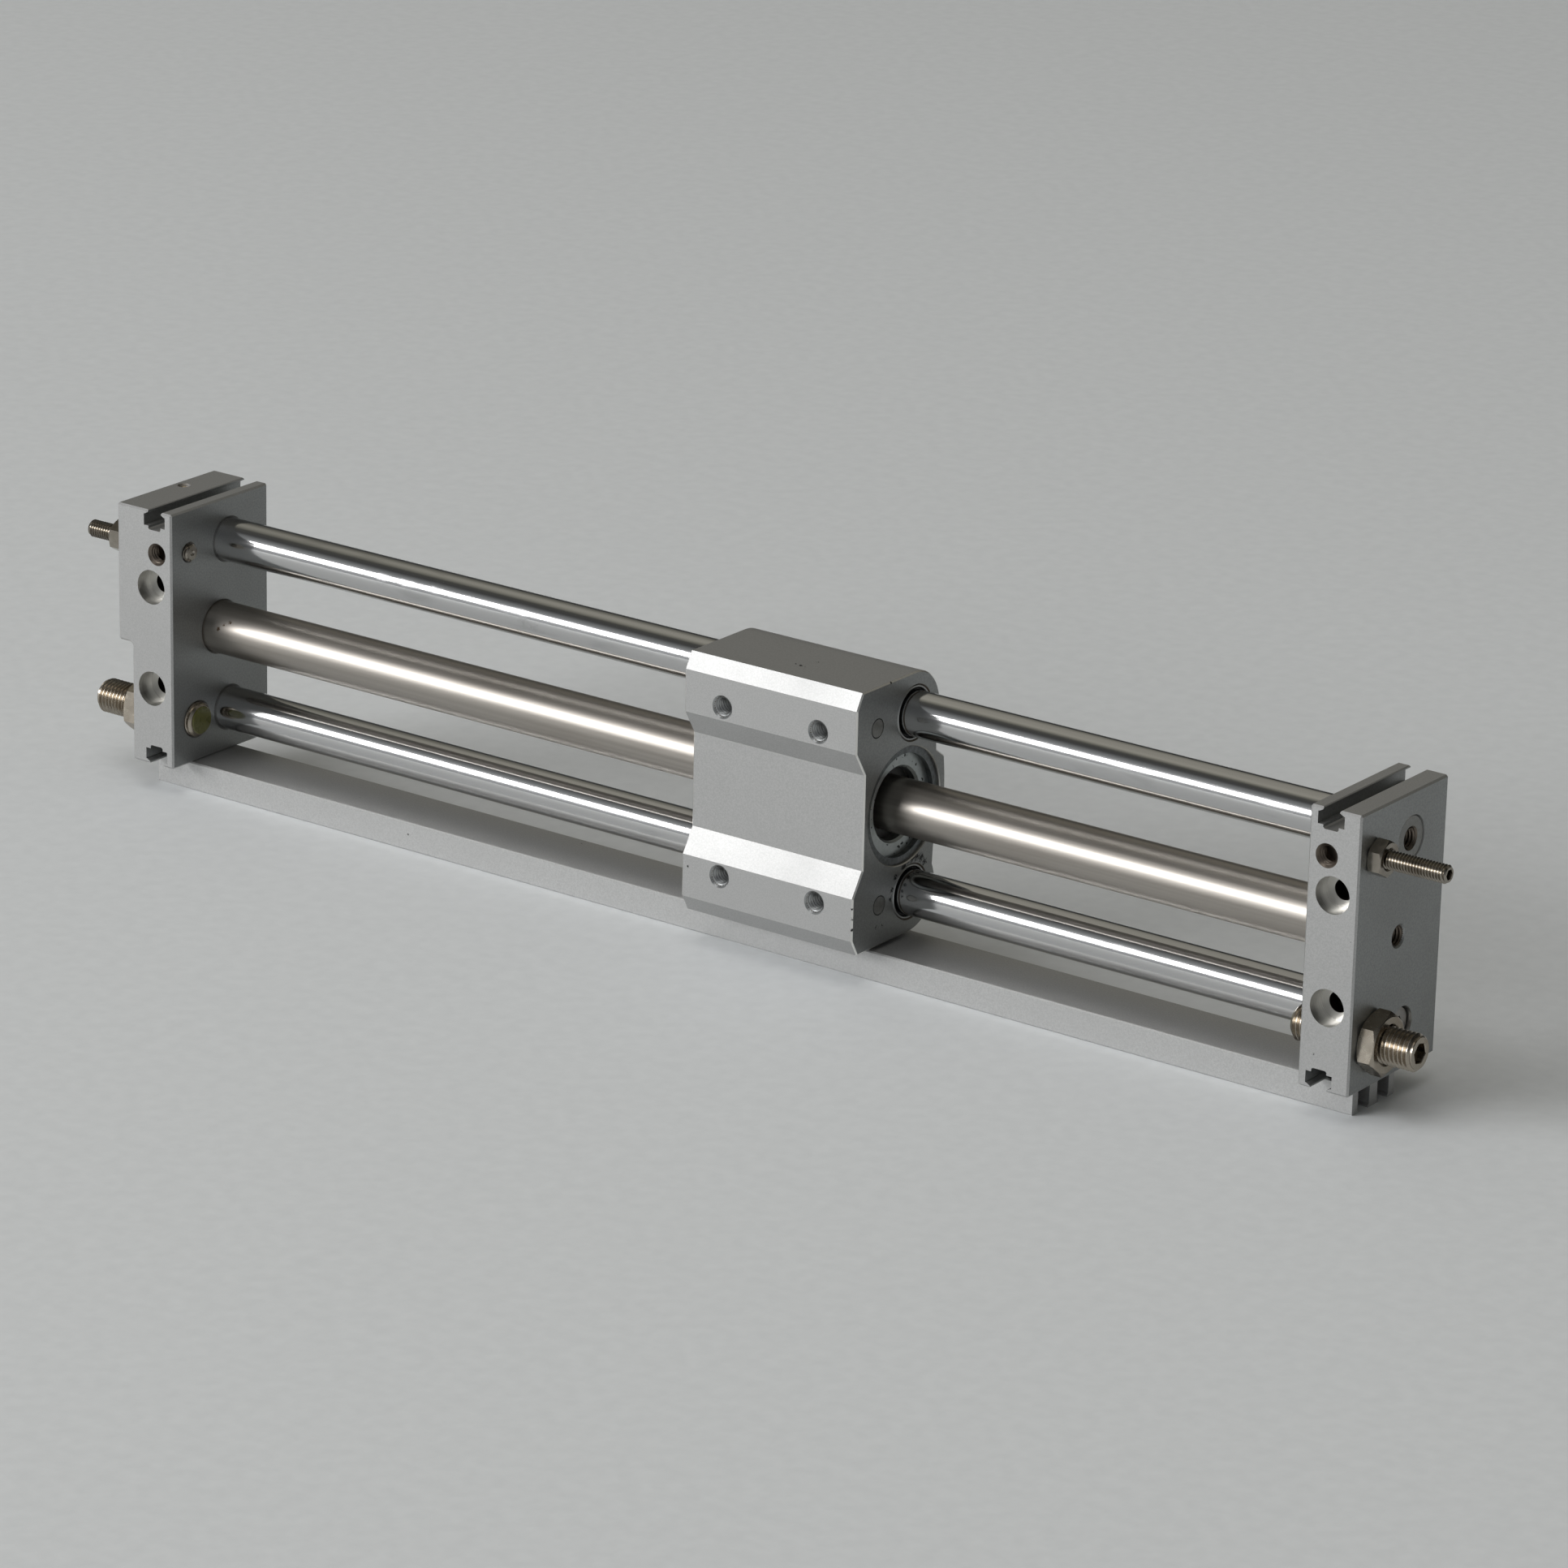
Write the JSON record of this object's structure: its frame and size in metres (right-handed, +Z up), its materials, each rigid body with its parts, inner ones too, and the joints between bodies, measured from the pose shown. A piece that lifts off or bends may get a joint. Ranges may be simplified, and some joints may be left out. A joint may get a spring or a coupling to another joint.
{
  "type": "rodless pneumatic cylinder",
  "caption": "Magnetic rodless air cylinder: slider with tapped face on a tube and guide shafts between end plates, with stop screws, rubber buffers and a switch rail.",
  "frame": {"origin": "on the floor under the middle of the whole outline, at the bottom of the switch rail", "axes": "+X along the stroke towards the plate with the two air ports, -Y out of the slider's tapped face, +Z up"},
  "size_m": [0.358, 0.0342, 0.0666],
  "materials": {
    "anodised": "satin blasted and clear anodised",
    "tube_steel": "drawn stainless tube, polished along its length",
    "chrome": "hard chromed and ground",
    "nickel": "nickel plated steel",
    "dark_steel": "blackened steel",
    "pad_steel": "hardened, ground ends",
    "bumper": "yellow-green translucent polyurethane",
    "seal": "black nitrile",
    "bearing": "dark dry-bearing liner",
    "wiper": "black",
    "magnet": "nickel plated magnet",
    "yoke": "soft iron, zinc plated",
    "piston": "yellow chromated",
    "brass": "bare"
  },
  "bodies": {
    "frame": {"left_end_plate": "anodised", "right_end_plate": "anodised", "cylinder_tube": "tube_steel", "upper_guide_shaft": "chrome", "lower_guide_shaft": "chrome", "switch_rail": "anodised", "left_tube_seal": "seal", "right_tube_seal": "seal", "left_shaft_seal": "seal", "right_shaft_seal": "seal", "left_rail_slot_bar": "dark_steel", "right_rail_slot_bar": "dark_steel", "lower_shaft_screws": "dark_steel", "shaft_lock_screws": "dark_steel", "rail_screws": "dark_steel", "passage_ball": "brass", "left_small_lock_nut": "nickel", "right_small_lock_nut": "nickel", "left_large_lock_nut": "nickel", "right_large_lock_nut": "nickel"},
    "carriage": {"slider_block": "anodised", "upper_left_bushing": "bearing", "upper_right_bushing": "bearing", "lower_left_bushing": "bearing", "lower_right_bushing": "bearing", "left_retaining_ring": "dark_steel", "right_retaining_ring": "dark_steel", "left_end_spacer": "anodised", "right_end_spacer": "anodised", "left_tube_wiper": "wiper", "right_tube_wiper": "wiper", "outer_magnet_1": "magnet", "outer_magnet_2": "magnet", "outer_magnet_3": "magnet", "outer_yokes": "yoke", "contact_pads": "pad_steel", "front_switch_magnet": "magnet", "rear_switch_magnet": "magnet"},
    "piston": {"piston_core": "pad_steel", "inner_magnet_1": "magnet", "inner_magnet_2": "magnet", "inner_magnet_3": "magnet", "inner_yokes": "yoke", "left_piston_head": "piston", "right_piston_head": "piston", "left_lip_seal": "seal", "right_lip_seal": "seal", "left_guide_band": "bearing", "right_guide_band": "bearing", "left_piston_nose": "seal", "right_piston_nose": "seal"},
    "left_small_stop": {"left_small_stop_screw": "nickel"},
    "right_small_stop": {"right_small_stop_screw": "nickel"},
    "left_large_stop": {"left_large_stop_screw": "nickel", "left_bumper": "bumper"},
    "right_large_stop": {"right_large_stop_screw": "nickel", "right_bumper": "bumper"}
  },
  "joints": [
    {"name": "carriage_slide", "type": "slide", "parent": "frame", "child": "carriage", "axis": [1, 0, 0], "range_m": [-0.1433, 0.1042]},
    {"name": "piston_slide", "type": "slide", "parent": "frame", "child": "piston", "axis": [1, 0, 0], "range_m": [-0.1433, 0.1042]},
    {"name": "left_small_stop_travel", "type": "slide", "parent": "frame", "child": "left_small_stop", "axis": [-1, 0, 0], "range_m": [0, 0.005]},
    {"name": "right_small_stop_travel", "type": "slide", "parent": "frame", "child": "right_small_stop", "axis": [1, 0, 0], "range_m": [0, 0.005]},
    {"name": "left_large_stop_travel", "type": "slide", "parent": "frame", "child": "left_large_stop", "axis": [-1, 0, 0], "range_m": [0, 0.005]},
    {"name": "right_large_stop_travel", "type": "slide", "parent": "frame", "child": "right_large_stop", "axis": [1, 0, 0], "range_m": [0, 0.005]}
  ],
  "couplings": [
    {"joint": "piston_slide", "follows": "carriage_slide", "ratio": 1}
  ]
}
